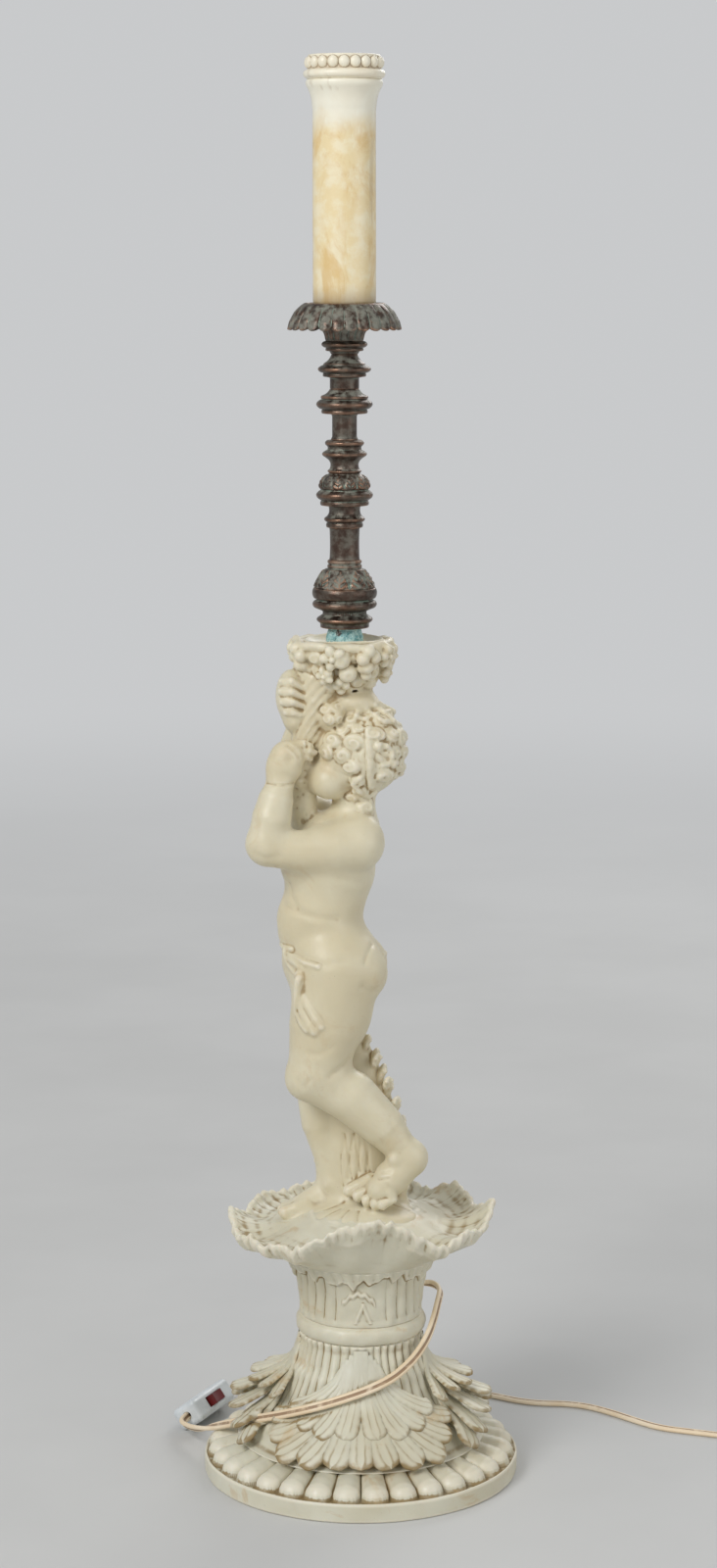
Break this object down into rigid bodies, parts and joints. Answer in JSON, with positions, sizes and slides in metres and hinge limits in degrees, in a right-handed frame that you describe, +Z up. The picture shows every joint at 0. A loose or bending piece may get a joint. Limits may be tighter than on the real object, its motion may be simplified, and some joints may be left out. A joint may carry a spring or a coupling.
{
  "type": "figural table lamp",
  "caption": "Candlestick table lamp: a standing putto on a leaf tray and acanthus pedestal lifts a horn of plenty to a turned stem, drip pan and candle lampholder, with lead, switch and plug.",
  "frame": {"origin": "centre of the round plinth on the surface it stands on", "axes": "+Z up the lamp; the figure faces -X; the picture looks along +Y with +X to the right"},
  "size_m": [0.5293, 0.2492, 0.9135],
  "materials": {
    "cast_ivory": "cast composition, antiqued ivory glaze with brown wash in the hollows",
    "cast_base": "cast composition, antiqued ivory glaze, dustier than the figure",
    "verdigris": "pale green verdigris on a bronze collar",
    "patinated_bronze": "dark brown patina with grey-green bloom",
    "candle_ivory": "ivory candle cover with amber staining",
    "plated_steel": "plated",
    "brass": "satin",
    "lampholder_plastic": "black moulded",
    "cord_vinyl": "ivory vinyl, flat two-core",
    "bushing_plastic": "ivory vinyl",
    "switch_white": "cool white moulded",
    "rocker_red": "dark red moulded",
    "plug_vinyl": "ivory moulded"
  },
  "bodies": {
    "lamp": {"acanthus_skirt": "cast_base", "base_nut": "plated_steel", "base_plinth": "cast_base", "base_washer": "plated_steel", "calyx": "patinated_bronze", "candle_collar": "candle_ivory", "candle_tube": "candle_ivory", "centre_contact": "brass", "column_knop": "patinated_bronze", "cord_behind_base": "cord_vinyl", "cord_bushing": "bushing_plastic", "cord_coil": "cord_vinyl", "cord_tail": "cord_vinyl", "cord_to_switch": "cord_vinyl", "cornucopia": "cast_ivory", "drip_pan": "patinated_bronze", "far_arm": "cast_ivory", "figure_body": "cast_ivory", "figure_head": "cast_ivory", "fruit_capital": "cast_ivory", "inner_cord": "cord_vinyl", "lamp_screw_shell": "brass", "lampholder_body": "lampholder_plastic", "lampholder_cap": "brass", "lampholder_screws": "brass", "leaf_stump": "cast_ivory", "leaf_tray": "cast_base", "loincloth": "cast_ivory", "lower_pipe": "plated_steel", "near_arm": "cast_ivory", "neck_band": "cast_base", "pan_ring": "patinated_bronze", "pedestal_neck": "cast_base", "pipe_coupling": "plated_steel", "plug_blades": "brass", "plug_body": "plug_vinyl", "stem_bell": "patinated_bronze", "stem_collar": "verdigris", "stem_column": "patinated_bronze", "stem_dome": "patinated_bronze", "stem_foot": "patinated_bronze", "stem_spool": "patinated_bronze", "switch_lower_half": "switch_white", "switch_screws": "plated_steel", "switch_terminals": "brass", "switch_upper_half": "switch_white", "top_knop": "patinated_bronze", "top_nut": "plated_steel", "upper_knop": "patinated_bronze", "upper_pipe": "plated_steel", "upper_shaft": "patinated_bronze"},
    "rocker": {"switch_rocker": "rocker_red", "switch_contact_bridge": "brass"}
  },
  "joints": [
    {"name": "switch_rock", "type": "hinge", "parent": "lamp", "child": "rocker", "pos_m": [-0.1041, 0.08327, 0.01361], "axis": [0.537, -0.2391, -0.809], "range_deg": [0, 20]}
  ]
}
